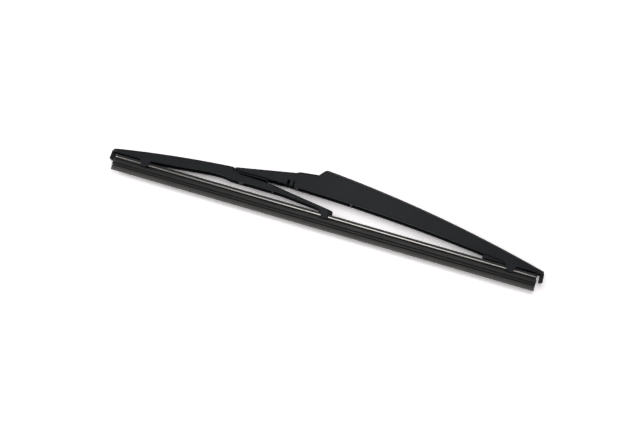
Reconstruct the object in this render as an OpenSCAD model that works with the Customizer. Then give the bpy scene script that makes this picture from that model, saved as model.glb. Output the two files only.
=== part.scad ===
// Rear wiper blade, lying on its side.
// X runs along the blade, Y from the rubber's lip to the blade's back and Z across its width.
// Outlines are drawn in the rubber's own frame: X from the rubber's left end, Y from the face where
// the rails meet the rubber's head. The finished blade is moved so that the arm pin is the origin.

/* [Rubber insert] */
// Length of the rubber insert from end to end
rubber_len = 300; // [285:1:330]
// Height of the rubber's head above the rails
head_h = 1.6; // [1.2:0.1:2]
// Width of the rubber's head
head_w = 4.6; // [4:0.1:5]
// Width of the web between the head and the shoulder
web_w = 1.2; // [1:0.1:1.6]
// Room between the rails and the shoulder, where the claws reach in
lip_room = 1.55; // [1.3:0.05:1.8]
// Width of the shoulder
shoulder_w = 5.2; // [4.6:0.1:5.6]
// Height of the shoulder
shoulder_h = 2.05; // [1.6:0.05:2.4]
// Width of the groove under the shoulder
groove_w = 2.8; // [2:0.1:3.4]
// Height of the groove under the shoulder
groove_h = 0.55; // [0.4:0.05:0.8]
// Width of the ridge under the groove
ridge_w = 4; // [3.4:0.1:4.6]
// Height of the ridge
ridge_h = 1.1; // [0.8:0.1:1.5]
// Width of the thin neck that lets the lip flip over
neck_w = 0.9; // [0.7:0.1:1.4]
// Height of the thin neck
neck_h = 0.6; // [0.4:0.1:0.9]
// Width of the lip at its root
lip_root_w = 3.4; // [2.8:0.1:4]
// Width of the lip at its wiping edge
lip_tip_w = 0.7; // [0.5:0.1:1]
// Height of the lip
lip_h = 3; // [2.6:0.1:4]

/* [Spring rails] */
// Thickness of a rail, along the blade's height
rail_t = 0.8; // [0.6:0.1:1.1]
// Width of a rail, across the blade
rail_w = 2.1; // [1.8:0.1:2.4]
// Distance from the rubber's end to the rail's end
rail_inset = 1; // [0.5:0.5:4]
// Play between a rail and its groove in the rubber
rail_play = 0.05; // [0.02:0.01:0.1]

/* [Claws and end hooks] */
// Play between the rails and the inside of a claw
claw_play = 0.2; // [0.15:0.05:0.3]
// Thickness of a claw's side wall
claw_wall = 1.05; // [0.9:0.05:1.4]
// Play above and below a claw's lip
lip_play = 0.15; // [0.1:0.05:0.25]
// Play between a claw's lip and the web
web_play = 0.4; // [0.2:0.1:0.6]
// Distance from the left end of the rubber to the left claw
left_claw_x = 22.5; // [20:0.5:28]
// Distance from the left end of the rubber to the middle claw
middle_claw_x = 152.7; // [148:0.1:156]
// Distance from the right end of the rubber to the right claw
right_claw_x = 18.4; // [14:0.4:24]
// Length of a claw at its lip
claw_len = 3.5; // [2.6:0.1:5]
// Lean of a claw's left side, sideways over height
claw_lean = 0.55; // [0.3:0.05:0.7]
// Gap between the rubber's left end and the left end hook
left_gap = 1.2; // [0.6:0.1:2.4]
// Gap between the rubber's right end and the right end hook
right_gap = 2.4; // [0.6:0.1:3]
// Thickness of an end hook
hook_t = 1.7; // [1.2:0.1:2]
// Width of an end hook
hook_w = 4.6; // [4:0.2:5.4]
// Depth of an end hook below the rails' upper face
hook_depth = 3; // [1.6:0.1:3.4]
// Gap between the rubber's head and the underside of a lever
head_gap = 0.7; // [0.5:0.1:1]

/* [Both levers] */
// Thickness of the side walls
wall_t = 1.5; // [1.2:0.1:1.7]
// Thickness of the back
roof_t = 1.6; // [1.2:0.1:2]
// Radius of the slight crown across the levers' backs
crown_r = 22; // [16:1:40]
// Width of both levers where they meet at the pivot
slim_w = 9.2; // [9:0.1:9.6]
// Rounding of the levers' ends, seen from the back
end_round = 2.4; // [1:0.2:3]

/* [Primary lever] */
// Width of the body at the hump, without its rim
hump_w = 9.6; // [9.6:0.2:12]
// Place of the step where the slim part ends
step_x = 127.2; // [125:0.2:128]
// Distance from the pivot to the tip of the side walls
tip_lead = 3.4; // [3.2:0.1:4]
// Height of the side walls' lower edge between tip and step
slim_low_y = 13.7; // [13.5:0.1:14.2]
// Height of the back at the tip
tip_top_y = 15.7; // [15.5:0.1:16.4]
// Height of the back at the step
step_top_y = 24; // [23.4:0.2:24.2]
// Height of the back just after the step
pocket_top_y = 24.4; // [24.2:0.1:25]
// Place of the foot of the hump's nose
nose_x = 140.9; // [140.7:0.1:141.8]
// Height of the foot of the hump's nose
nose_y = 25.9; // [25.6:0.1:26.4]
// Length of the hump's sloping nose
nose_len = 5.3; // [4.6:0.1:6]
// Height of the hump
hump_y = 32.5; // [31.5:0.1:34]
// Rounding at the top of the nose
nose_r = 5; // [3:0.5:5]
// Radius of the long convex back
back_r = 911; // [800:10:1500]
// Height of the back at the right end
back_end_y = 5; // [4.6:0.1:5.6]
// How much the crown's radius exceeds half the hump's width
crown_ease = 0.5; // [0.2:0.1:2]
// Height of the lower edge under the hump
belly_y = 13.5; // [13.2:0.1:13.9]
// Radius of the long convex lower edge
belly_r = 1250; // [1150:10:1600]
// Height of the lower edge where it meets the right claw
belly_end_y = 3.3; // [3:0.1:4]
// Height of the rim along the lower edge
rim_h = 0.8; // [0.6:0.1:1.4]
// How far the rim stands proud of the side walls
rim_proud = 0.2; // [0.1:0.05:0.4]
// Thickness of the wide cross rib at the step
step_rib_t = 2.4; // [1.8:0.2:3]
// Place of the cross rib under the hump
hump_rib_x = 167.8; // [164:0.2:175]
// Place of the end of the tongue's box in the slim part
box_end_x = 108; // [104:0.5:112]
// Height of the lower edge of the tongue's box
box_low_y = 12.5; // [12.4:0.05:12.7]
// Width of the channel inside the tongue's box
box_channel_w = 3.8; // [3:0.1:4.2]
// Distance between the two cross ribs at the end of the box
box_rib_gap = 2.4; // [1.8:0.2:4]
// Distance from the right claw to the solid end of the channel
fill_len = 14; // [8:1:20]
// Thickness of the thin cross ribs
rib_t = 1.4; // [1:0.1:2]
// Place of the snap finger in the slim part's upper side wall
finger_x = 124.3; // [123.5:0.1:124.6]
// Width of the snap finger
finger_w = 2.4; // [2:0.1:3]
// Length of the snap finger
finger_len = 3.6; // [2.6:0.2:4.4]
// Width of the slot to the left of the snap finger
left_slot_w = 1.8; // [1.2:0.1:2.2]
// Width of the slot to the right of the snap finger
right_slot_w = 0.9; // [0.6:0.1:1]

/* [Arm pin] */
// Distance from the left end of the rubber to the arm pin
arm_pin_x = 136.5; // [136.1:0.1:137]
// Height of the arm pin
arm_pin_y = 20.2; // [19:0.1:21]
// Diameter of the arm pin
arm_pin_d = 4; // [3.5:0.1:4.6]
// Depth of a pin's seat in each side wall
seat_depth = 0.8; // [0.5:0.1:1]
// Play between a fixed pin and its seat
seat_play = 0.01; // [0.005:0.005:0.02]

/* [Secondary lever] */
// Distance from the left end of the rubber to the pivot
pivot_x = 81; // [79:0.2:83]
// Height of the pivot
pivot_y = 10.8; // [10.5:0.1:11]
// Height of the back at the left end
left_top_y = 4.5; // [4.3:0.1:5]
// Radius of the convex back between the left end and the notch
rocker_r = 780; // [700:10:1200]
// Height of the back at the notch over the pivot
notch_y = 15.5; // [15.3:0.05:15.6]
// Distance from the pivot to the notch
notch_lead = 1.7; // [1.5:0.1:1.9]
// Height of the right arm's back beside the pivot
arm_top_y = 11.7; // [11.5:0.1:11.9]
// Place where the right arm's back bends
arm_bend_x = 112; // [106:1:118]
// Height of the right arm's back where it bends
arm_bend_y = 10.75; // [10.4:0.05:10.8]
// Height of the right arm's back at its end
arm_end_y = 4.4; // [4.2:0.1:4.8]
// Place of the left arch's highest stretch
arch_x = 71; // [68:0.5:72]
// Height of the left arch
arch_y = 7.2; // [6.9:0.1:7.5]
// Height of the lower edge under the pivot and the right arm
waist_y = 6.2; // [6:0.05:6.4]
// Place where the right arm's lower edge begins to fall
waist_end_x = 119; // [112:0.5:122]
// Height of the lower edge where the right arm meets its claw
arm_low_y = 3.5; // [3.1:0.1:3.8]
// Place of the cross rib in the right arm
arm_rib_x = 113; // [104:1:124]
// Length of the solid part beside the slot for the tongue
slot_block = 3.4; // [1.4:0.2:5]
// Distance from the pivot to the front of the slot for the tongue
slot_front = 7.6; // [7.2:0.1:8.4]
// Distance from the pivot to the rear of the slot for the tongue
slot_rear = 3.6; // [3.5:0.1:4.4]

/* [Pivot] */
// Diameter of the pivot pin
pivot_d = 3.2; // [2.6:0.1:3.6]
// Radial play of the tongue on the pivot pin
pivot_play = 0.05; // [0.02:0.01:0.1]
// Radius of the tongue's eye round the pivot pin
eye_r = 2.9; // [2.6:0.05:3]
// Play between the tongue and the side walls of the secondary lever
tongue_play = 0.15; // [0.1:0.05:0.3]

/* [Hidden] */
$fn = 96;

// Longest edge and widest turn of a computed arc
arc_edge = 7;
arc_turn = 15;
// Reach of a cutting body past the blade
past = rubber_len / 5;
// How far side outlines pass over the crown, so that the crown alone shapes the back
cover = 0.4;

// Rubber and rails
web_half = web_w / 2;
rail_in = web_half + rail_play;
rail_out = rail_in + rail_w;
shoulder_top = -rail_t - 2 * rail_play - lip_room;
shoulder_bottom = shoulder_top - shoulder_h;
ridge_top = shoulder_bottom - groove_h;
ridge_bottom = ridge_top - ridge_h;
lip_root = ridge_bottom - neck_h;
lip_tip = lip_root - lip_h;
head_round = 0.5;
shoulder_round = 0.35;
flank_steps = 10;
flank_power = 2.4;

// Claws, hooks and ends
claw_half = rail_out + claw_play;
end_half = claw_half + claw_wall;
lip_top = -rail_t - 2 * rail_play - lip_play;
claw_bottom = shoulder_top + lip_play;
lip_half = web_half + web_play;
low_y = head_h + head_gap;
passage_top = low_y + 0.05;
left_end = -left_gap - hook_t;
right_end = rubber_len + right_gap + hook_t;
right_claw = rubber_len - right_claw_x;
claw_flare = 1.1;
claw_round = 0.5;
corner_round = 0.8;

// Primary lever
tip_x = pivot_x + tip_lead;
pocket_x0 = step_x + step_rib_t;
crown_big_r = hump_w / 2 + crown_ease;
nose_top_x = nose_x + nose_len;
back_centre = circle_centre([nose_top_x + 2, hump_y - 0.5], [right_end, back_end_y], back_r);
belly_start = [pocket_x0, belly_y];
belly_end = [right_claw - claw_len / 2 - claw_lean * (belly_end_y - claw_bottom), belly_end_y];
belly_centre = circle_centre(belly_start, belly_end, belly_r);
taper_x = nose_top_x + 5;
pocket_lip = 1.6;
tongue_half = slim_w / 2 - wall_t - tongue_play;
tip_block = 7;

// Secondary lever
notch_x = pivot_x + notch_lead;
arm_end_x = middle_claw_x + 4.5;
widen_x = arch_x;
rocker_centre = circle_centre([left_end, left_top_y], [notch_x, notch_y], rocker_r);

function unit(v) = v / norm(v);

// Distance between the floors of a pin's two seats in a lever of width w
function pin_length(w) = w - 2 * wall_t + 2 * seat_depth;

// Centre of the circle of radius r through two points, on the side below them
function circle_centre(p, q, r) =
    let (half = norm(q - p) / 2, along = unit(q - p))
    (p + q) / 2 + [along.y, -along.x] * sqrt(r * r - half * half);

// Height of a circle's upper half over the place x
function circle_top(centre, r, x) = centre.y + sqrt(r * r - (x - centre.x) * (x - centre.x));

// Points of a circle's upper half from x0 to x1, lifted by lift
function circle_line(centre, r, x0, x1, lift) =
    let (n = ceil(abs(x1 - x0) / arc_edge))
    [for (i = [0:n]) let (x = x0 + (x1 - x0) * i / n) [x, circle_top(centre, r, x) + lift, 0]];

// Height over the place x of the straight line through two points
function line_y(p, q, x) = p.y + (q.y - p.y) * (x - p.x) / (q.x - p.x);

// Arc that rounds the corner p between its neighbours a and b. p is [x, y, radius].
function corner(a, p, b) =
    let (
        here = [p.x, p.y],
        to_a = [a.x, a.y] - here,
        to_b = [b.x, b.y] - here,
        u = unit(to_a),
        v = unit(to_b),
        inner = acos(u * v),
        wanted = p[2] / tan(inner / 2),
        t = min(wanted, 0.49 * min(norm(to_a), norm(to_b))),
        r = t * tan(inner / 2)
    )
    p[2] == 0 || inner > 179.5 ? [here] :
    let (
        centre = here + unit(u + v) * r / sin(inner / 2),
        side = u.x * v.y - u.y * v.x > 0 ? -1 : 1,
        turn = 180 - inner,
        steps = max(1, ceil(turn / arc_turn), ceil(r * turn * PI / 180 / arc_edge)),
        start = here + u * t - centre,
        begin = atan2(start.y, start.x)
    )
    [for (i = [0:steps]) centre + r * [cos(begin + side * turn * i / steps), sin(begin + side * turn * i / steps)]];

// Outline whose corners are rounded by their own radius
function rounded(path) =
    let (n = len(path))
    [for (i = [0:n - 1]) each corner(path[(i + n - 1) % n], path[i], path[(i + 1) % n])];

// Body with the given side outline, as thick as the whole blade and more
module side_cut(path) {
    linear_extrude(2 * past, center = true) polygon(rounded(path));
}

// Body with the given outline seen from the back. Each entry is [x, half width, radius].
module plan_cut(path) {
    n = len(path);
    other = [for (i = [n - 1:-1:0]) [path[i].x, -path[i].y, path[i][2]]];
    translate([0, past, 0]) rotate([90, 0, 0]) linear_extrude(2 * past) polygon(rounded(concat(path, other)));
}

// Section of a bar with a round back that touches the line y = 0
module crowned_section(r) {
    translate([-r, 0]) circle(r);
    translate([-r - past, -r]) square([past, 2 * r]);
}

// Straight bar with a round back along the line through two points
module crowned_bar(p, q, r) {
    along = q - p;
    translate([p.x, p.y, 0]) rotate([0, 0, atan2(along.y, along.x)]) rotate([90, 0, 90])
        translate([0, 0, -past]) linear_extrude(norm(along) + 2 * past) crowned_section(r);
}

// Bar with a round back of radius r that is bent along an arc from x0 to x1
module bent_bar(centre, bend_r, x0, x1, r) {
    low = atan2(circle_top(centre, bend_r, x1) - centre.y, x1 - centre.x);
    high = atan2(circle_top(centre, bend_r, x0) - centre.y, x0 - centre.x);
    translate([centre.x, centre.y, 0]) rotate([0, 0, low])
        rotate_extrude(angle = high - low, $fn = 720) translate([bend_r, 0]) crowned_section(r);
}

// Bar that shapes the primary lever's long convex back
module back_bar(inset) {
    bent_bar(back_centre, back_r - inset, step_x - 6, right_end + 3, crown_big_r - inset);
}

// Room for the rubber's head and rails, with the slot that lets the web out between the claw lips
module rubber_passage() {
    translate([-left_gap, 0, 0]) rotate([90, 0, 90]) linear_extrude(rubber_len + left_gap + right_gap) union() {
        translate([lip_top, -claw_half]) square([passage_top - lip_top, 2 * claw_half]);
        translate([lip_top - past, -lip_half]) square([past + 1, 2 * lip_half]);
    }
}

// Outline points of a claw, from left to right
function claw_points(x, flare, left_top, right_top) = [
    [x - claw_len / 2 - claw_lean * (left_top - claw_bottom), left_top, 1.6],
    [x - claw_len / 2, claw_bottom, claw_round],
    [x + claw_len / 2, claw_bottom, claw_round],
    [x + claw_len / 2 + flare, right_top, 1]
];

// Plate that stops the rubber at one end, hanging down from the lever's end wall
module end_hook(x) {
    translate([x, -hook_depth, -hook_w / 2]) cube([hook_t, hook_depth + low_y + 1, hook_w]);
}

// Cross rib through a channel, from its lower edge upwards
module rib(x, t, low) {
    translate([x - t / 2, low, -past / 2]) cube([t, past, past]);
}

// Outline of the rubber's section, half of it, as [height, half width] from the lip to the head
function lip_flank() = [
    for (i = [0:flank_steps])
        let (t = i / flank_steps)
        [lip_tip + lip_h * t, (lip_tip_w + (lip_root_w - lip_tip_w) * pow(t, flank_power)) / 2, 0]
];

function rubber_half() = concat(
    lip_flank(),
    [
        [lip_root, neck_w / 2, 0],
        [ridge_bottom, neck_w / 2, 0],
        [ridge_bottom, ridge_w / 2, shoulder_round],
        [ridge_top, ridge_w / 2, shoulder_round],
        [ridge_top, groove_w / 2, 0],
        [shoulder_bottom, groove_w / 2, 0],
        [shoulder_bottom, shoulder_w / 2, shoulder_round],
        [shoulder_top, shoulder_w / 2, shoulder_round],
        [shoulder_top, web_half, 0],
        [0, web_half, 0],
        [0, head_w / 2, 0],
        [head_h, head_w / 2, head_round]
    ]
);

module wiping_rubber() {
    half = rubber_half();
    n = len(half);
    other = [for (i = [n - 1:-1:0]) [half[i].x, -half[i].y, half[i][2]]];
    color([0.2, 0.2, 0.2]) at_pin()
        rotate([90, 0, 90]) linear_extrude(rubber_len) polygon(rounded(concat(half, other)));
}

module rail(side) {
    middle = side * (rail_in + rail_out) / 2;
    color([0.8, 0.79, 0.77]) at_pin() translate([rail_inset, -rail_play - rail_t, middle - rail_w / 2])
        cube([rubber_len - 2 * rail_inset, rail_t, rail_w]);
}

module arm_pin() {
    color([0.6, 0.6, 0.6]) at_pin() translate([arm_pin_x, arm_pin_y, 0])
        cylinder(h = pin_length(hump_w) - 2 * seat_play, d = arm_pin_d, center = true);
}

module pivot_pin() {
    color([0.16, 0.16, 0.17]) at_pin() translate([pivot_x, pivot_y, 0])
        cylinder(h = pin_length(slim_w) - 2 * seat_play, d = pivot_d, center = true);
}

// Side outline of the primary lever from the step to the right end
function primary_right_side() =
    let (
        drop_x = right_end - 14,
        claw = claw_points(right_claw, claw_flare, belly_end_y, low_y)
    )
    concat(
        [
            [step_x - 1, belly_y, 0],
            [step_x - 1, step_top_y - 0.4, 0],
            [step_x, step_top_y, 0],
            [step_x + 1.1, pocket_top_y, 1],
            [nose_x, nose_y, 0.9],
            [nose_top_x, hump_y, nose_r],
            [nose_top_x + 10, hump_y, 0],
            [nose_top_x + 10, hump_y + 8, 0],
            [drop_x, hump_y + 8, 0],
            [drop_x, circle_top(back_centre, back_r, drop_x) + cover, 0],
            [right_end, circle_top(back_centre, back_r, right_end) + cover, end_round],
            [right_end, low_y, 0]
        ],
        [for (i = [3:-1:0]) claw[i]],
        circle_line(belly_centre, belly_r, belly_end.x - arc_edge, belly_start.x, 0)
    );

// The same lever seen from its back, wider by extra on each side
function primary_right_plan(extra) = [
    [step_x - 1, slim_w / 2 + extra, 0],
    [step_x, slim_w / 2 + extra, 0],
    [step_x + 0.9, hump_w / 2 + extra, 0.5],
    [taper_x, hump_w / 2 + extra, 0],
    [right_end - end_round, end_half + extra, 8],
    [right_end, end_half - end_round + extra, end_round]
];

// Straight part of the primary lever between its tip and the step
module primary_slim_body() {
    back = [[tip_x, tip_top_y], [step_x, step_top_y]];
    intersection() {
        side_cut([
            [tip_x, slim_low_y, 0.3],
            [tip_x, tip_top_y + cover, 0.5],
            [step_x, step_top_y + cover, 0],
            [step_x, slim_low_y, 0]
        ]);
        crowned_bar(back[0], back[1], crown_r);
        translate([0, 0, -slim_w / 2]) linear_extrude(slim_w) translate([0, -past]) square([step_x, 2 * past]);
    }
}

module primary_right_body() {
    intersection() {
        side_cut(primary_right_side());
        plan_cut(primary_right_plan(0));
        back_bar(0);
    }
}

// Rim along the lower edge between the step and the right claw
module primary_rim() {
    intersection() {
        difference() {
            side_cut(primary_right_side());
            translate([0, rim_h, 0]) side_cut(primary_right_side());
        }
        plan_cut(primary_right_plan(rim_proud));
        translate([step_x + 3, low_y + 1, -past]) cube([right_claw - 12 - step_x, belly_y, 2 * past]);
    }
}

// Channel under the slim part's back, from x0 to x1
module slim_channel(x0, x1, half) {
    back = [[tip_x, tip_top_y - roof_t], [step_x, step_top_y - roof_t]];
    translate([0, 0, -half]) linear_extrude(2 * half) polygon([
        [x0, box_low_y - 1],
        [x0, line_y(back[0], back[1], x0)],
        [x1, line_y(back[0], back[1], x1)],
        [x1, box_low_y - 1]
    ]);
}

// Both channels of the slim part: the narrow one inside the tongue's box and the wide one after it
module primary_slim_channels() {
    difference() {
        slim_channel(tip_x + tip_block, box_end_x - rib_t, box_channel_w / 2);
        rib(box_end_x - rib_t - box_rib_gap, rib_t / 2, box_low_y + 0.2);
    }
    slim_channel(box_end_x, step_x, slim_w / 2 - wall_t);
}

// Channel of the right part, open at the back in front of the hump
module primary_right_channel() {
    end_wall = right_end - hook_t;
    plan = primary_right_plan(-wall_t);
    difference() {
        intersection() {
            side_cut([
                [pocket_x0, passage_top - 1, 0],
                [pocket_x0, nose_y + 4, 0],
                [nose_x, nose_y + 4, 0],
                [nose_x, nose_y - pocket_lip, 0.4],
                [nose_x + pocket_lip, nose_y - pocket_lip / 2, 0],
                [nose_top_x + pocket_lip, hump_y - roof_t, nose_r - roof_t],
                [nose_top_x + 10, hump_y - roof_t, 0],
                [nose_top_x + 10, hump_y + 4, 0],
                [end_wall, hump_y + 4, 0],
                [end_wall, passage_top - 1, 0]
            ]);
            plan_cut(plan);
            union() {
                back_bar(roof_t);
                translate([pocket_x0 - 1, 0, -past]) cube([nose_x - pocket_x0 + 1, hump_y, 2 * past]);
            }
        }
        rib(hump_rib_x, rib_t, passage_top + 1);
        rib(belly_end.x - fill_len / 2, fill_len, passage_top);
    }
}

// Tongue that reaches from its eye on the pivot pin through the slim part, where it becomes a box
module tongue() {
    translate([0, 0, -tongue_half]) linear_extrude(2 * tongue_half) union() {
        translate([pivot_x, pivot_y]) circle(eye_r);
        polygon([
            [pivot_x, pivot_y + eye_r],
            [tip_x - 1.6, tip_top_y - 0.6],
            [tip_x + 1, tip_top_y - 0.6],
            [box_end_x, slim_low_y + 1],
            [box_end_x, box_low_y],
            [pivot_x + slot_front - 0.6, box_low_y],
            [pivot_x + eye_r * cos(40), pivot_y - eye_r * sin(40)]
        ]);
    }
}

// Block that hangs from the channel's solid end and guides the rubber's head before the right claw
module claw_block() {
    start = belly_end.x - fill_len;
    translate([start, passage_top, -claw_half]) cube([fill_len + 1, belly_end_y, 2 * claw_half]);
}

// Slots in the upper side wall that free the snap finger
module finger_slots() {
    low = slim_low_y - 1;
    high = slim_low_y + finger_len;
    for (slot = [[finger_x - finger_w / 2 - left_slot_w, left_slot_w], [finger_x + finger_w / 2, right_slot_w]])
        translate([slot[0], low, 0]) cube([slot[1], high - low, past]);
}

module primary_lever() {
    color([0.15, 0.16, 0.17]) at_pin() difference() {
        union() {
            difference() {
                union() {
                    primary_slim_body();
                    primary_right_body();
                    primary_rim();
                }
                primary_right_channel();
                rubber_passage();
                finger_slots();
            }
            tongue();
            claw_block();
            end_hook(rubber_len + right_gap);
        }
        primary_slim_channels();
        translate([pivot_x, pivot_y, 0]) cylinder(h = slim_w, r = pivot_d / 2 + pivot_play, center = true);
        translate([arm_pin_x, arm_pin_y, 0])
            cylinder(h = pin_length(hump_w), r = arm_pin_d / 2 + seat_play, center = true);
    }
}

// The secondary lever seen from its back, wider by extra on each side
function secondary_plan(extra) = [
    [left_end, end_half - end_round + extra, end_round],
    [left_end + end_round, end_half + extra, 8],
    [left_claw_x + 8, end_half + extra, 20],
    [widen_x, slim_w / 2 + extra, 20],
    [pivot_x + 24, slim_w / 2 + extra, 20],
    [arm_end_x - end_round, end_half + extra, 8],
    [arm_end_x, end_half - end_round + extra, end_round]
];

// Left half of the secondary lever, up to the notch over the pivot
module secondary_left_body() {
    claw = claw_points(left_claw_x, 1.8 * claw_flare, low_y, low_y + 0.3);
    intersection() {
        side_cut(concat(
            [[left_end, low_y, 0], [left_end, left_top_y + cover, end_round]],
            circle_line(rocker_centre, rocker_r, left_end + arc_edge, notch_x - arc_edge, cover),
            [
                [notch_x, notch_y + cover, 1.6],
                [notch_x, waist_y, 0],
                [notch_x - 0.7, waist_y, 5],
                [arch_x + 6.5, arch_y, 8],
                [arch_x - 2, arch_y - 0.1, 30],
                [left_claw_x + 15, low_y + 1.3, 60]
            ],
            [for (i = [3:-1:0]) claw[i]]
        ));
        bent_bar(rocker_centre, rocker_r, left_end - 3, notch_x + 3, crown_r);
    }
}

// Right arm of the secondary lever, under the slim part of the primary lever
module secondary_right_body() {
    a = [pivot_x + slot_front, arm_top_y];
    b = [arm_bend_x, arm_bend_y];
    c = [arm_end_x, arm_end_y];
    claw = claw_points(middle_claw_x, claw_flare, arm_low_y, low_y - 1);
    intersection() {
        side_cut(concat(
            [
                [notch_x - 0.2, waist_y, 0],
                [notch_x - 0.2, arm_top_y, 0],
                [pivot_x + slot_front - 2, arm_top_y, 0],
                [pivot_x + slot_front, arm_top_y + cover, 0],
                [arm_bend_x, arm_bend_y + cover, 0],
                [arm_end_x, arm_end_y + cover, 1.4],
                [arm_end_x, low_y - 1, 0.6]
            ],
            [for (i = [3:-1:0]) claw[i]],
            [[waist_end_x, waist_y, 40]]
        ));
        union() {
            intersection() {
                crowned_bar(a, b, crown_r);
                crowned_bar(b, c, crown_r);
            }
            translate([notch_x - 5, 0, -past]) cube([slot_front - notch_lead + 4, arm_top_y, 2 * past]);
        }
    }
}

// Channel under the secondary lever's back, with its cross ribs left standing
module secondary_channel() {
    end_wall = left_end + hook_t;
    slot_x0 = pivot_x - slot_rear;
    slot_x1 = pivot_x + slot_front;
    difference() {
        intersection() {
            plan_cut(secondary_plan(-wall_t));
            side_cut([
                [end_wall, passage_top - 1, 0],
                each circle_line(rocker_centre, rocker_r, end_wall, slot_x0, -roof_t),
                [slot_x0, notch_y + 2, 0],
                [slot_x1, notch_y + 2, 0],
                [slot_x1, arm_top_y - roof_t, 0],
                [arm_bend_x, arm_bend_y - roof_t, 0],
                [arm_end_x - hook_t, arm_end_y - roof_t, 0],
                [arm_end_x - hook_t, passage_top - 1, 0]
            ]);
        }
        rib(slot_x1 + slot_block / 2, slot_block, waist_y + 0.2);
        rib(arm_rib_x, rib_t, waist_y + 0.2);
    }
}

module secondary_lever() {
    color([0.15, 0.16, 0.17]) at_pin() difference() {
        union() {
            difference() {
                intersection() {
                    union() {
                        secondary_left_body();
                        secondary_right_body();
                    }
                    plan_cut(secondary_plan(0));
                }
                secondary_channel();
                rubber_passage();
            }
            end_hook(left_end);
        }
        translate([pivot_x, pivot_y, 0])
            cylinder(h = pin_length(slim_w), r = pivot_d / 2 + seat_play, center = true);
    }
}

// Moves a piece from the rubber's frame to the frame of the finished blade
module at_pin() {
    translate([-arm_pin_x, -arm_pin_y, 0]) children();
}

primary_lever();
secondary_lever();
wiping_rubber();
rail(1);  // upper_rail
rail(-1);  // lower_rail
arm_pin();
pivot_pin();
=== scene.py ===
"""Rear wiper blade: its rubber strip and steel rails, the finishes of its levers and pins, and the studio."""

import math

import bpy
import numpy as np
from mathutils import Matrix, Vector


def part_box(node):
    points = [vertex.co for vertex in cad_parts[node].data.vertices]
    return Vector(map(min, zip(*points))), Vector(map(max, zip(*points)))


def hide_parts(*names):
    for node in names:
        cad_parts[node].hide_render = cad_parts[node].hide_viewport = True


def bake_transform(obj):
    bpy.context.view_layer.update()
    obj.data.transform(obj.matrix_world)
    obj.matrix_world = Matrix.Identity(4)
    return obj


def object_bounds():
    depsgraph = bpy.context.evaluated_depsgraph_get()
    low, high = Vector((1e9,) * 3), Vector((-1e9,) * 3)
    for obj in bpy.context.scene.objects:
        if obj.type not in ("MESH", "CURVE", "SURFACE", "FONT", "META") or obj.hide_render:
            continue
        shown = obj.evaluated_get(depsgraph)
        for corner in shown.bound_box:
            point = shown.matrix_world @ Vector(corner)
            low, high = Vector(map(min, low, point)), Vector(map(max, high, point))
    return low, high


bl_info = {
    "name": "Rear wiper blade",
    "version": (1, 0, 0),
    "blender": (4, 5, 0),
    "location": "View3D > Sidebar > Wiper",
    "description": "Finishes a rear wiper blade, its rubber strip and its spring rails",
    "category": "Object",
}

MM = 0.001
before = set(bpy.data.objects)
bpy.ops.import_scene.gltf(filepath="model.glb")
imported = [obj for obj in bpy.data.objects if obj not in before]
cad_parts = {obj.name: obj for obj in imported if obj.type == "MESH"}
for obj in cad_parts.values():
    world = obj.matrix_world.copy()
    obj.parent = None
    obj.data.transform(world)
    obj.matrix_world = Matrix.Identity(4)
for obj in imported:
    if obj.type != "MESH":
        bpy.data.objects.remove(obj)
CAD_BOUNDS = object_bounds()
RUBBER_LOW, RUBBER_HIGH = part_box("wiping_rubber")
LEVER_NODES = ("primary_lever", "secondary_lever")
RAIL_NODES = ("upper_rail", "lower_rail")

# Place, aim and size of each area lamp, in metres. Its power is the studio setting of the same name.
LAMPS = {
    "left_lamp": ((-1.0, 0, 0.6), (0, 0, 0), (0.6, 0.6)),
    "right_lamp": ((1.1, -0.1, 0.5), (0, 0, 0), (0.8, 0.8)),
    "panel": ((0.045, 0.14, 0.45), (0.045, 0, 0), (0.3, 0.26)),
}
SENSOR_WIDTH = 36
NEAREST_SEEN = 10 * MM

# Scales of the noises, in cells a metre.
FLOW_CLOUDS = 60
DIE_LINES = 2600
DUST = 240
ROLLED_LINES = 3000
STEEL_PATCHES = 90

# A noise's values lie mostly between these two.
NOISE_LOW, NOISE_HIGH = 0.3, 0.7


def length_prop(name, description, default_mm):
    """A length in metres whose default is given in millimetres."""
    return bpy.props.FloatProperty(
        name=name, description=description, default=default_mm * MM, min=0, subtype="DISTANCE", unit="LENGTH"
    )


def colour_prop(name, description, default):
    """A linear colour."""
    return bpy.props.FloatVectorProperty(
        name=name, description=description, default=default, size=3, min=0, max=1, subtype="COLOR"
    )


def share_prop(name, description, default):
    """A share from 0 to 1."""
    return bpy.props.FloatProperty(
        name=name, description=description, default=default, min=0, max=1, subtype="FACTOR"
    )


def number_prop(name, description, default):
    """A strength or power that isn't negative."""
    return bpy.props.FloatProperty(name=name, description=description, default=default, min=0)


class StripShape(bpy.types.PropertyGroup):
    """Sizes of the rubber strip's section. Its outer sizes come from the frame."""

    head_height: length_prop("Head height", "Height of the head above the rails", 1.6)
    head_width: length_prop("Head width", "Width of the head", 4.6)
    web_width: length_prop("Web width", "Width of the web between the rails", 1.2)
    shoulder_height: length_prop("Shoulder height", "Height of the shoulder", 2.05)
    groove_width: length_prop("Groove width", "Width of the groove under the shoulder", 2.8)
    groove_height: length_prop("Groove height", "Height of the groove under the shoulder", 0.55)
    ridge_width: length_prop("Ridge width", "Width of the ridge under the groove", 4.0)
    ridge_height: length_prop("Ridge height", "Height of the ridge", 1.1)
    neck_width: length_prop("Neck width", "Width of the thin neck above the lip", 0.9)
    neck_height: length_prop("Neck height", "Height of the thin neck above the lip", 0.6)
    root_width: length_prop("Lip root width", "Width of the lip at its root", 3.4)
    edge_width: length_prop("Lip edge width", "Width of the lip at its wiping edge", 0.7)
    lip_height: length_prop("Lip height", "Height of the lip", 3.0)
    corner: length_prop("Corner rounding", "Rounding of the strip's corners", 0.3)
    step: length_prop("Length step", "Length of one segment along the strip", 2.0)


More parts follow.
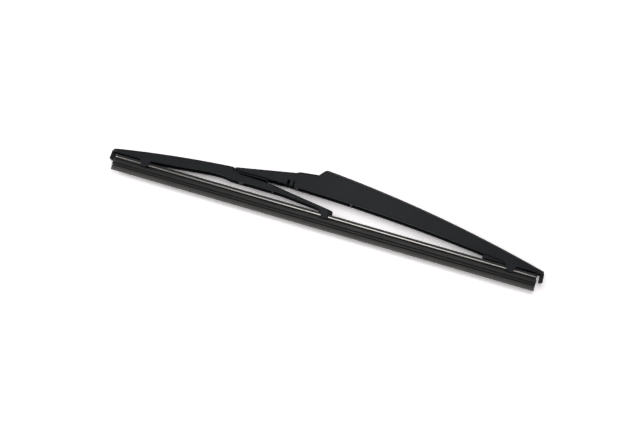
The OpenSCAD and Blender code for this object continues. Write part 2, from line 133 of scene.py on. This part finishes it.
class RailShape(bpy.types.PropertyGroup):
    """Sizes of the spring rails that the frame doesn't give."""

    corner: length_prop("Edge rounding", "Rounding of a rail's rolled edges", 0.22)
    end_taper: length_prop("End taper", "Length over which a rail's sheared ends narrow", 0.6)
    end_width: share_prop("End width", "Width of a rail's end, as a share of its full width", 0.8)
    step: length_prop("Length step", "Length of one segment along a rail", 2.0)


class BladeFinish(bpy.types.PropertyGroup):
    """Colours and grain of the blade's materials."""

    plastic: colour_prop("Plastic", "Colour of the moulded levers", (0.0042, 0.0055, 0.0074))
    rubber: colour_prop("Rubber", "Colour of the strip's body", (0.011, 0.0102, 0.0102))
    # The lip colour is the lighter warm grey that the rubber turns towards its wiping edge.
    lip: colour_prop("Lip", "Colour of the coated wiping lip", (0.085, 0.08, 0.075))
    steel: colour_prop("Steel", "Colour of the spring rails", (0.5, 0.48, 0.46))
    pin: colour_prop("Pin steel", "Colour of the arm pin", (0.42, 0.42, 0.42))
    dark_pin: colour_prop("Dark pin", "Colour of the blackened pivot pin", (0.03, 0.03, 0.032))
    # The next two heights are where the rubber starts to turn towards the lip colour and where it has fully
    # done so.
    lightening_top: length_prop("Coat top", "Height above the wiping edge where the lip's coat ends", 3.6)
    lightening_full: length_prop("Full coat", "Height above the wiping edge up to which the coat is full", 0.2)
    grain: length_prop("Grain", "Size of the grain on the moulded levers", 0.4)
    edge: length_prop("Soft edge", "Rounding that the levers' moulded edges show", 0.3)
    back_edge: length_prop("Back edge", "Rounding that the edges along the levers' backs show", 2.2)
    plastic_rough: share_prop("Plastic roughness", "Roughness of the moulded levers", 0.52)
    rubber_rough: share_prop("Rubber roughness", "Roughness of the rubber strip", 0.5)
    steel_rough: share_prop("Steel roughness", "Roughness of the spring rails", 0.34)


class StudioSetup(bpy.types.PropertyGroup):
    """Camera, floor, lamps and room light."""

    eye: bpy.props.FloatVectorProperty(
        name="Camera place", description="Where the camera stands", default=(0.0484, -0.1351, 0.4494),
        size=3, subtype="TRANSLATION", unit="LENGTH",
    )
    azimuth: bpy.props.FloatProperty(
        name="Azimuth", description="Turn of the camera's view from the Y axis",
        default=math.radians(-16.58), subtype="ANGLE", unit="ROTATION",
    )
    elevation: bpy.props.FloatProperty(
        name="Elevation", description="Slope of the camera's view below the horizon",
        default=math.radians(75), subtype="ANGLE", unit="ROTATION",
    )
    lens: bpy.props.FloatProperty(
        name="Lens", description="Focal length in millimetres", default=38.01, min=10,
        subtype="DISTANCE_CAMERA",
    )
    floor_colour: colour_prop("Floor", "Colour of the floor", (0.86, 0.86, 0.86))
    floor_half: length_prop("Floor half", "Half the floor's side", 30000)
    shadow_reach: length_prop("Shadow reach", "Distance up to which the floor shows shadows", 300)
    floor_shown: bpy.props.FloatVectorProperty(
        name="Shown floor", description="Brighter colour of the floor where it is seen or mirrored",
        default=(1.46, 1.415, 1.43), size=3, min=0, subtype="COLOR",
    )
    front_sky: number_prop("Front sky", "Strength of the room's light from the front", 0.68)
    back_sky: number_prop("Back sky", "Strength of the room's light from behind the blade", 0.02)
    band_low: bpy.props.FloatProperty(
        name="Band", description="Height above the horizon up to which the room is white",
        default=math.radians(18), subtype="ANGLE", unit="ROTATION",
    )
    band_high: bpy.props.FloatProperty(
        name="Band fade", description="Height above the horizon where the white band has faded",
        default=math.radians(28), subtype="ANGLE", unit="ROTATION",
    )
    left_lamp: number_prop("Left lamp", "Power of the lamp on the left, in watts", 5)
    right_lamp: number_prop("Right lamp", "Power of the lamp on the right, in watts", 0.5)
    panel: number_prop("Panel", "Power of the panel over the middle, in watts", 0.9)


def put_mesh(name, points, faces, smooth=True):
    """New object whose mesh has these points and faces, shaded smooth or flat."""
    mesh = bpy.data.meshes.new(name)
    mesh.from_pydata(points.tolist(), [], [list(f) for f in faces])
    mesh.polygons.foreach_set("use_smooth", np.full(len(mesh.polygons), smooth))
    mesh.update()
    piece = bpy.data.objects.new(name, mesh)
    bpy.context.scene.collection.objects.link(piece)
    return piece


def rounded_outline(corners, radii, arc_steps=4):
    """Closed outline with each corner replaced by an arc.

    Along both sides of a corner the arc starts at radius / tan(half the corner's angle), at most
    0.45 of the side. The arc is a quadratic curve that the corner pulls, which is close to a circle.
    """
    longest_share = 0.45
    before, after = np.roll(corners, 1, axis=0) - corners, np.roll(corners, -1, axis=0) - corners
    len_b, len_a = np.linalg.norm(before, axis=1), np.linalg.norm(after, axis=1)
    unit_b, unit_a = before / len_b[:, None], after / len_a[:, None]
    half = np.arccos(np.clip((unit_b * unit_a).sum(1), -1, 1)) / 2
    cut = np.minimum(radii / np.maximum(np.tan(half), 1e-3), longest_share * np.minimum(len_b, len_a))
    cut = cut[:, None]
    start, end = corners + unit_b * cut, corners + unit_a * cut
    t = np.linspace(0, 1, arc_steps + 1)[None, :, None]
    arc = (1 - t) ** 2 * start[:, None] + 2 * t * (1 - t) * corners[:, None] + t**2 * end[:, None]
    return arc.reshape(-1, 2)


def sweep(name, section, stations, widths=None):
    """Section [height, width] carried along X, closed by a flat face at each end.

    A point is (station, height, width), where the width may shrink by a share given for each station.
    """
    count, rows = len(section), len(stations)
    share = np.ones(rows) if widths is None else widths
    grid = np.empty((rows, count, 3))
    grid[..., 0] = stations[:, None]
    grid[..., 1] = section[None, :, 0]
    middle = section[:, 1].mean()
    grid[..., 2] = middle + (section[None, :, 1] - middle) * share[:, None]
    row, column = np.meshgrid(np.arange(rows - 1), np.arange(count), indexing="ij")
    here, above = row * count, (row + 1) * count
    beside = (column + 1) % count
    sides = np.stack([here + column, here + beside, above + beside, above + column], -1).reshape(-1, 4)
    first, last = np.arange(count)[::-1], (rows - 1) * count + np.arange(count)
    return put_mesh(name, grid.reshape(-1, 3), [*sides.tolist(), first.tolist(), last.tolist()])


def stations_between(low, high, step):
    """Even places from low to high, at most one step apart."""
    return np.linspace(low, high, int(math.ceil((high - low) / step)) + 1)


def strip_section(shape):
    """Outline of the rubber strip as [height, width], the right half from lip to head and its mirror image.

    From the lip's edge upwards its half width grows from edge to root with the 2.4th power of the height.
    The neck, ridge, groove, shoulder, web and head follow as steps.
    """
    lip = RUBBER_LOW.y
    top = RUBBER_HIGH.y
    body_half = (RUBBER_HIGH.z - RUBBER_LOW.z) / 2
    flank_steps, flank_power = 10, 2.4
    rise = np.linspace(0, 1, flank_steps + 1)
    flank_width = shape.edge_width + (shape.root_width - shape.edge_width) * rise**flank_power
    flank = np.stack([lip + shape.lip_height * rise, flank_width / 2], -1)
    root = lip + shape.lip_height
    ridge_low = root + shape.neck_height
    ridge_top = ridge_low + shape.ridge_height
    shoulder_low = ridge_top + shape.groove_height
    shoulder_top = shoulder_low + shape.shoulder_height
    head_low = top - shape.head_height
    steps = np.array([
        [root, shape.neck_width / 2], [ridge_low, shape.neck_width / 2],
        [ridge_low, shape.ridge_width / 2], [ridge_top, shape.ridge_width / 2],
        [ridge_top, shape.groove_width / 2], [shoulder_low, shape.groove_width / 2],
        [shoulder_low, body_half], [shoulder_top, body_half],
        [shoulder_top, shape.web_width / 2], [head_low, shape.web_width / 2],
        [head_low, shape.head_width / 2], [top, shape.head_width / 2],
    ])
    half = np.concatenate([flank, steps])
    corners = np.concatenate([half, half[::-1] * [1, -1]])
    smooth, root_round, small = 0.02 * MM, 0.12 * MM, 0.1 * MM
    radii = np.full(len(half), shape.corner)
    radii[:flank_steps] = smooth
    radii[0] = small
    radii[flank_steps] = root_round
    radii[flank_steps + 1:flank_steps + 3] = small
    return rounded_outline(corners, np.concatenate([radii, radii[::-1]]))


def new_material(name):
    """New material. Returns it, its node tree and its shader."""
    material = bpy.data.materials.new(name)
    material.use_nodes = True
    tree = material.node_tree
    shader = tree.nodes["Principled BSDF"]
    return material, tree, shader


def noise_node(tree, scale, detail, stretch=(1, 1, 1)):
    """Noise on Object coordinates, at scale cells a metre, with that scale times stretch along X, Y and Z."""
    place = tree.nodes.new("ShaderNodeTexCoord")
    mapping = tree.nodes.new("ShaderNodeMapping")
    mapping.inputs["Scale"].default_value = stretch
    noise = tree.nodes.new("ShaderNodeTexNoise")
    noise.inputs["Scale"].default_value = scale
    noise.inputs["Detail"].default_value = detail
    tree.links.new(place.outputs["Object"], mapping.inputs["Vector"])
    tree.links.new(mapping.outputs["Vector"], noise.inputs["Vector"])
    return noise


def ramp_node(tree, source, low, high, dark, light):
    """Map Range from low..high to dark..light."""
    ramp = tree.nodes.new("ShaderNodeMapRange")
    for key, value in (("From Min", low), ("From Max", high), ("To Min", dark), ("To Max", light)):
        ramp.inputs[key].default_value = value
    tree.links.new(source, ramp.inputs["Value"])
    return ramp.outputs["Result"]


def math_node(tree, operation, first, second):
    """Result of an operation, such as MULTIPLY or MAXIMUM, on two sockets."""
    node = tree.nodes.new("ShaderNodeMath")
    node.operation = operation
    tree.links.new(first, node.inputs[0])
    tree.links.new(second, node.inputs[1])
    return node.outputs[0]


def axis_sockets(tree, vector):
    """The X, Y and Z sockets of a vector socket."""
    split = tree.nodes.new("ShaderNodeSeparateXYZ")
    tree.links.new(vector, split.inputs["Vector"])
    return split.outputs


def uneven_roughness(tree, noise, middle, below=0.05, above=0.08):
    """Roughness that a noise varies from middle less below to middle plus above."""
    return ramp_node(tree, noise.outputs["Fac"], NOISE_LOW, NOISE_HIGH, middle - below, middle + above)


def mix_colour(tree, factor, first, second):
    """Colour that goes from first to second by factor. Either may be a socket or three numbers."""
    mix = tree.nodes.new("ShaderNodeMix")
    mix.data_type = "RGBA"
    tree.links.new(factor, mix.inputs["Factor"])
    for socket, value in ((mix.inputs[6], first), (mix.inputs[7], second)):
        if isinstance(value, bpy.types.NodeSocket):
            tree.links.new(value, socket)
        else:
            socket.default_value = (*value, 1)
    return mix.outputs[2]


def bump_node(tree, height, strength, depth, normal=None):
    """Bump of the given depth in metres over an optional normal."""
    bump = tree.nodes.new("ShaderNodeBump")
    bump.inputs["Strength"].default_value = strength
    bump.inputs["Distance"].default_value = depth
    tree.links.new(height, bump.inputs["Height"])
    if normal is not None:
        tree.links.new(normal, bump.inputs["Normal"])
    return bump.outputs["Normal"]


def soft_edge_node(tree, radius, samples=6):
    """Normal that rounds edges by radius."""
    bevel = tree.nodes.new("ShaderNodeBevel")
    bevel.samples = samples
    bevel.inputs["Radius"].default_value = radius
    return bevel.outputs["Normal"]


def back_edge_node(tree, narrow, wide):
    """Normal that rounds the edges of a lever's back by wide, and all other edges by narrow.

    The wide rounding counts where it turns the normal towards the back, which is +Y.
    """
    turn_start, turn_full = 0.02, 0.12
    wide_normal = soft_edge_node(tree, wide, samples=12)
    turned = ramp_node(tree, axis_sockets(tree, wide_normal)["Y"], turn_start, turn_full, 0, 1)
    mix = tree.nodes.new("ShaderNodeMix")
    mix.data_type = "VECTOR"
    tree.links.new(turned, mix.inputs["Factor"])
    tree.links.new(soft_edge_node(tree, narrow), mix.inputs[4])
    tree.links.new(wide_normal, mix.inputs[5])
    return mix.outputs[1]


def plastic_material(finish):
    """Moulded black plastic: fine spark-eroded grain, faint flow clouds and softly rounded edges."""
    cloud_low, cloud_high, cloud_lift = 0.35, 0.65, 1.35
    material, tree, shader = new_material("lever_plastic")
    grain = noise_node(tree, scale=1 / finish.grain, detail=2)
    cloud = noise_node(tree, scale=FLOW_CLOUDS, detail=3)
    tint = ramp_node(tree, cloud.outputs["Fac"], cloud_low, cloud_high, 0, 1)
    lighter = [min(1, c * cloud_lift) for c in finish.plastic]
    tree.links.new(mix_colour(tree, tint, list(finish.plastic), lighter), shader.inputs["Base Color"])
    tree.links.new(uneven_roughness(tree, grain, finish.plastic_rough), shader.inputs["Roughness"])
    rounded = back_edge_node(tree, finish.edge, finish.back_edge)
    normal = bump_node(tree, grain.outputs["Fac"], strength=0.6, depth=0.07 * MM, normal=rounded)
    tree.links.new(normal, shader.inputs["Normal"])
    shader.inputs["IOR"].default_value = 1.45
    shader.inputs["Specular IOR Level"].default_value = 0.25
    return material


def rubber_material(finish):
    """Extruded rubber: a black body that turns unevenly lighter and warm grey towards the lip's wiping edge,
    and fine lines from the extruder's die.
    """
    least_lightening, most_lightening = 0.75, 1.15
    material, tree, shader = new_material("blade_rubber")
    place = tree.nodes.new("ShaderNodeTexCoord")
    height = axis_sockets(tree, place.outputs["Object"])["Y"]
    lip = RUBBER_LOW.y
    # The rubber grows lighter towards the lip's wiping edge, unevenly by the dust noise.
    lightening = ramp_node(tree, height, lip + finish.lightening_top, lip + finish.lightening_full, 0, 1)
    lines = noise_node(tree, scale=DIE_LINES, detail=2, stretch=(0.012, 1, 1))
    dust = noise_node(tree, scale=DUST, detail=4, stretch=(0.5, 1, 1))
    patchiness = ramp_node(tree, dust.outputs["Fac"], NOISE_LOW, NOISE_HIGH, least_lightening, most_lightening)
    lip_tone = math_node(tree, "MULTIPLY", lightening, patchiness)
    colour = mix_colour(tree, lip_tone, list(finish.rubber), list(finish.lip))
    tree.links.new(colour, shader.inputs["Base Color"])
    rough = uneven_roughness(tree, dust, finish.rubber_rough, below=0.06, above=0.1)
    tree.links.new(rough, shader.inputs["Roughness"])
    normal = bump_node(tree, lines.outputs["Fac"], strength=0.4, depth=0.02 * MM)
    tree.links.new(normal, shader.inputs["Normal"])
    shader.inputs["Specular IOR Level"].default_value = 0.35
    return material


def steel_material(name, colour, roughness, stretch):
    """Plain steel with fine lines along the axis that stretch makes long, and slightly uneven gloss."""
    line_shade = 0.8
    material, tree, shader = new_material(name)
    lines = noise_node(tree, scale=ROLLED_LINES, detail=3, stretch=stretch)
    patches = noise_node(tree, scale=STEEL_PATCHES, detail=3)
    tint = ramp_node(tree, lines.outputs["Fac"], NOISE_LOW, NOISE_HIGH, 0, 1)
    darker = [c * line_shade for c in colour]
    tree.links.new(mix_colour(tree, tint, darker, list(colour)), shader.inputs["Base Color"])
    tree.links.new(uneven_roughness(tree, patches, roughness), shader.inputs["Roughness"])
    normal = bump_node(tree, lines.outputs["Fac"], strength=0.3, depth=0.01 * MM)
    tree.links.new(normal, shader.inputs["Normal"])
    shader.inputs["Metallic"].default_value = 1
    return material


def give_material(piece, material):
    """The piece gets this material alone."""
    piece.data.materials.clear()
    piece.data.materials.append(material)


def bend_with_levers(piece):
    """Bakes the piece's place into its mesh; the piece is not bent with the levers."""
    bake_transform(piece)


class WIPER_OT_levers(bpy.types.Operator):
    """Gives both moulded levers their grained black plastic"""

    bl_idname = "wiper.levers"
    bl_label = "Finish levers"

    def execute(self, context):
        material = plastic_material(context.scene.blade_finish)
        for name in LEVER_NODES:
            give_material(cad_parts[name], material)
        return {"FINISHED"}


class WIPER_OT_pins(bpy.types.Operator):
    """Gives the arm pin and the pivot pin their steel"""

    bl_idname = "wiper.pins"
    bl_label = "Finish pins"

    def execute(self, context):
        finish = context.scene.blade_finish
        turning = (1, 1, 0.02)
        turned = steel_material("pin_steel", list(finish.pin), finish.steel_rough, turning)
        blackened = steel_material("dark_pin", list(finish.dark_pin), finish.plastic_rough, turning)
        give_material(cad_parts["arm_pin"], turned)
        give_material(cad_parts["pivot_pin"], blackened)
        return {"FINISHED"}


class WIPER_OT_strip(bpy.types.Operator):
    """Makes the rubber strip from its section"""

    bl_idname = "wiper.strip"
    bl_label = "Make rubber strip"

    def execute(self, context):
        shape = context.scene.strip_shape
        stations = stations_between(RUBBER_LOW.x, RUBBER_HIGH.x, shape.step)
        strip = sweep("rubber_strip", strip_section(shape), stations)
        give_material(strip, rubber_material(context.scene.blade_finish))
        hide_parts("wiping_rubber")
        bend_with_levers(strip)
        return {"FINISHED"}


class WIPER_OT_rails(bpy.types.Operator):
    """Makes both spring rails with rolled edges and sheared ends"""

    bl_idname = "wiper.rails"
    bl_label = "Make spring rails"

    def execute(self, context):
        shape = context.scene.rail_shape
        finish = context.scene.blade_finish
        rolling = (0.01, 1, 1)
        steel = steel_material("rail_steel", list(finish.steel), finish.steel_rough, rolling)
        for node in RAIL_NODES:
            low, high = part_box(node)
            corners = np.array([[low.y, low.z], [low.y, high.z], [high.y, high.z], [high.y, low.z]])
            section = rounded_outline(corners, np.full(4, shape.corner))
            stations = stations_between(low.x, high.x, shape.step)
            tapers = [low.x + shape.end_taper, high.x - shape.end_taper]
            stations = np.insert(stations, [1, len(stations) - 1], tapers)
            widths = np.ones(len(stations))
            widths[[0, -1]] = shape.end_width
            rail = sweep(f"{node}_strip", section, stations, widths)
            give_material(rail, steel)
            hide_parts(node)
            bend_with_levers(rail)
        return {"FINISHED"}


def seen_rays(tree):
    """1 for camera rays and for rays mirrored or let through by the object, and 0 for all other light."""
    path = tree.nodes.new("ShaderNodeLightPath")
    seen = path.outputs["Is Camera Ray"]
    for name in ("Is Glossy Ray", "Is Transmission Ray"):
        seen = math_node(tree, "MAXIMUM", seen, path.outputs[name])
    return seen


def floor_material(studio):
    """White floor that keeps shadows.

    Where it is seen or mirrored it is brighter, and it fades to plain white away from the blade.
    """
    material, tree, shader = new_material("studio_floor")
    output = tree.nodes["Material Output"]
    tree.nodes.remove(shader)
    seen = seen_rays(tree)
    diffuse = tree.nodes.new("ShaderNodeBsdfDiffuse")
    colour = mix_colour(tree, seen, list(studio.floor_colour), list(studio.floor_shown))
    tree.links.new(colour, diffuse.inputs["Color"])
    white = tree.nodes.new("ShaderNodeEmission")
    place = tree.nodes.new("ShaderNodeTexCoord")
    distance = tree.nodes.new("ShaderNodeVectorMath")
    distance.operation = "LENGTH"
    tree.links.new(place.outputs["Object"], distance.inputs[0])
    far = ramp_node(tree, distance.outputs["Value"], studio.shadow_reach, 2 * studio.shadow_reach, 0, 1)
    both = tree.nodes.new("ShaderNodeMixShader")
    tree.links.new(math_node(tree, "MULTIPLY", far, seen), both.inputs["Fac"])
    tree.links.new(diffuse.outputs["BSDF"], both.inputs[1])
    tree.links.new(white.outputs["Emission"], both.inputs[2])
    tree.links.new(both.outputs["Shader"], output.inputs["Surface"])
    return material


def room_world(studio):
    """Room light that fades evenly from the front to the back, above a white band around the horizon."""
    world = bpy.data.worlds.new("room")
    world.use_nodes = True
    tree = world.node_tree
    background = tree.nodes["Background"]
    background.inputs["Color"].default_value = (1, 1, 1, 1)
    place = tree.nodes.new("ShaderNodeTexCoord")
    way = axis_sockets(tree, place.outputs["Generated"])
    fade = ramp_node(tree, way["Y"], -1, 1, studio.front_sky, studio.back_sky)
    band_low, band_high = math.sin(studio.band_low), math.sin(studio.band_high)
    above = ramp_node(tree, way["Z"], band_low, band_high, 0, 1)
    mix = tree.nodes.new("ShaderNodeMix")
    mix.data_type = "FLOAT"
    mix.inputs[2].default_value = 1
    tree.links.new(above, mix.inputs["Factor"])
    tree.links.new(fade, mix.inputs[3])
    tree.links.new(mix.outputs[0], background.inputs["Strength"])
    return world


def add_lamp(name, place, aim, size, power):
    """Rectangular area lamp at place that shines at aim."""
    light = bpy.data.lights.new(name, "AREA")
    light.shape = "RECTANGLE"
    light.size, light.size_y = size
    light.energy = power
    lamp = bpy.data.objects.new(name, light)
    lamp.location = place
    lamp.rotation_mode = "QUATERNION"
    lamp.rotation_quaternion = (Vector(aim) - Vector(place)).to_track_quat("-Z", "Y")
    bpy.context.scene.collection.objects.link(lamp)


def add_floor(studio):
    """Square floor at the height of the blade's lowest point, floor_half wide to each side."""
    square = np.array([[-1, -1], [1, -1], [1, 1], [-1, 1]]) * studio.floor_half
    ground = np.insert(square, 2, CAD_BOUNDS[0].z, axis=1)
    floor = put_mesh("studio_floor", ground, [(0, 1, 2, 3)], smooth=False)
    give_material(floor, floor_material(studio))
    return floor


def add_camera(studio):
    """Camera at eye. Its view is turned from the Y axis by azimuth and points down by elevation."""
    data = bpy.data.cameras.new("camera")
    data.sensor_width = SENSOR_WIDTH
    data.lens = studio.lens
    data.clip_start = NEAREST_SEEN
    flat = math.cos(studio.elevation)
    turned = (math.sin(studio.azimuth) * flat, math.cos(studio.azimuth) * flat)
    gaze = Vector((*turned, -math.sin(studio.elevation)))
    camera = bpy.data.objects.new("camera", data)
    camera.location = studio.eye
    camera.rotation_mode = "QUATERNION"
    camera.rotation_quaternion = gaze.to_track_quat("-Z", "Y")
    bpy.context.scene.collection.objects.link(camera)
    return camera


class WIPER_OT_studio(bpy.types.Operator):
    """Sets up the floor, the lamps, the room's light and the camera"""

    bl_idname = "wiper.studio"
    bl_label = "Set up studio"

    def execute(self, context):
        scene = context.scene
        studio = scene.studio_setup
        add_floor(studio)
        for name, (place, aim, size) in LAMPS.items():
            add_lamp(name, place, aim, size, getattr(studio, name))
        scene.world = room_world(studio)
        scene.view_settings.view_transform = "Standard"
        scene.camera = add_camera(studio)
        return {"FINISHED"}


OPERATORS = (WIPER_OT_levers, WIPER_OT_pins, WIPER_OT_strip, WIPER_OT_rails, WIPER_OT_studio)
GROUPS = {
    "strip_shape": StripShape,
    "rail_shape": RailShape,
    "blade_finish": BladeFinish,
    "studio_setup": StudioSetup,
}


class WIPER_PT_blade(bpy.types.Panel):
    """Sidebar panel with the blade's sizes, finishes, studio and steps"""

    bl_idname = "WIPER_PT_blade"
    bl_label = "Wiper blade"
    bl_space_type = "VIEW_3D"
    bl_region_type = "UI"
    bl_category = "Wiper"

    def draw(self, context):
        for name, group in GROUPS.items():
            box = self.layout.box()
            for key in group.__annotations__:
                box.prop(getattr(context.scene, name), key)
        for operator in OPERATORS:
            self.layout.operator(operator.bl_idname)


def register():
    """Adds the settings, the steps and the panel."""
    for kind in (*GROUPS.values(), *OPERATORS, WIPER_PT_blade):
        bpy.utils.register_class(kind)
    for name, group in GROUPS.items():
        setattr(bpy.types.Scene, name, bpy.props.PointerProperty(type=group))


def unregister():
    """Takes the settings, the steps and the panel away again."""
    for name in GROUPS:
        delattr(bpy.types.Scene, name)
    for kind in (WIPER_PT_blade, *OPERATORS[::-1], *reversed(list(GROUPS.values()))):
        bpy.utils.unregister_class(kind)


def main():
    """Runs every step in turn."""
    register()
    bpy.ops.wiper.levers()
    bpy.ops.wiper.pins()
    bpy.ops.wiper.strip()
    bpy.ops.wiper.rails()
    bpy.ops.wiper.studio()


if __name__ == "__main__":
    main()
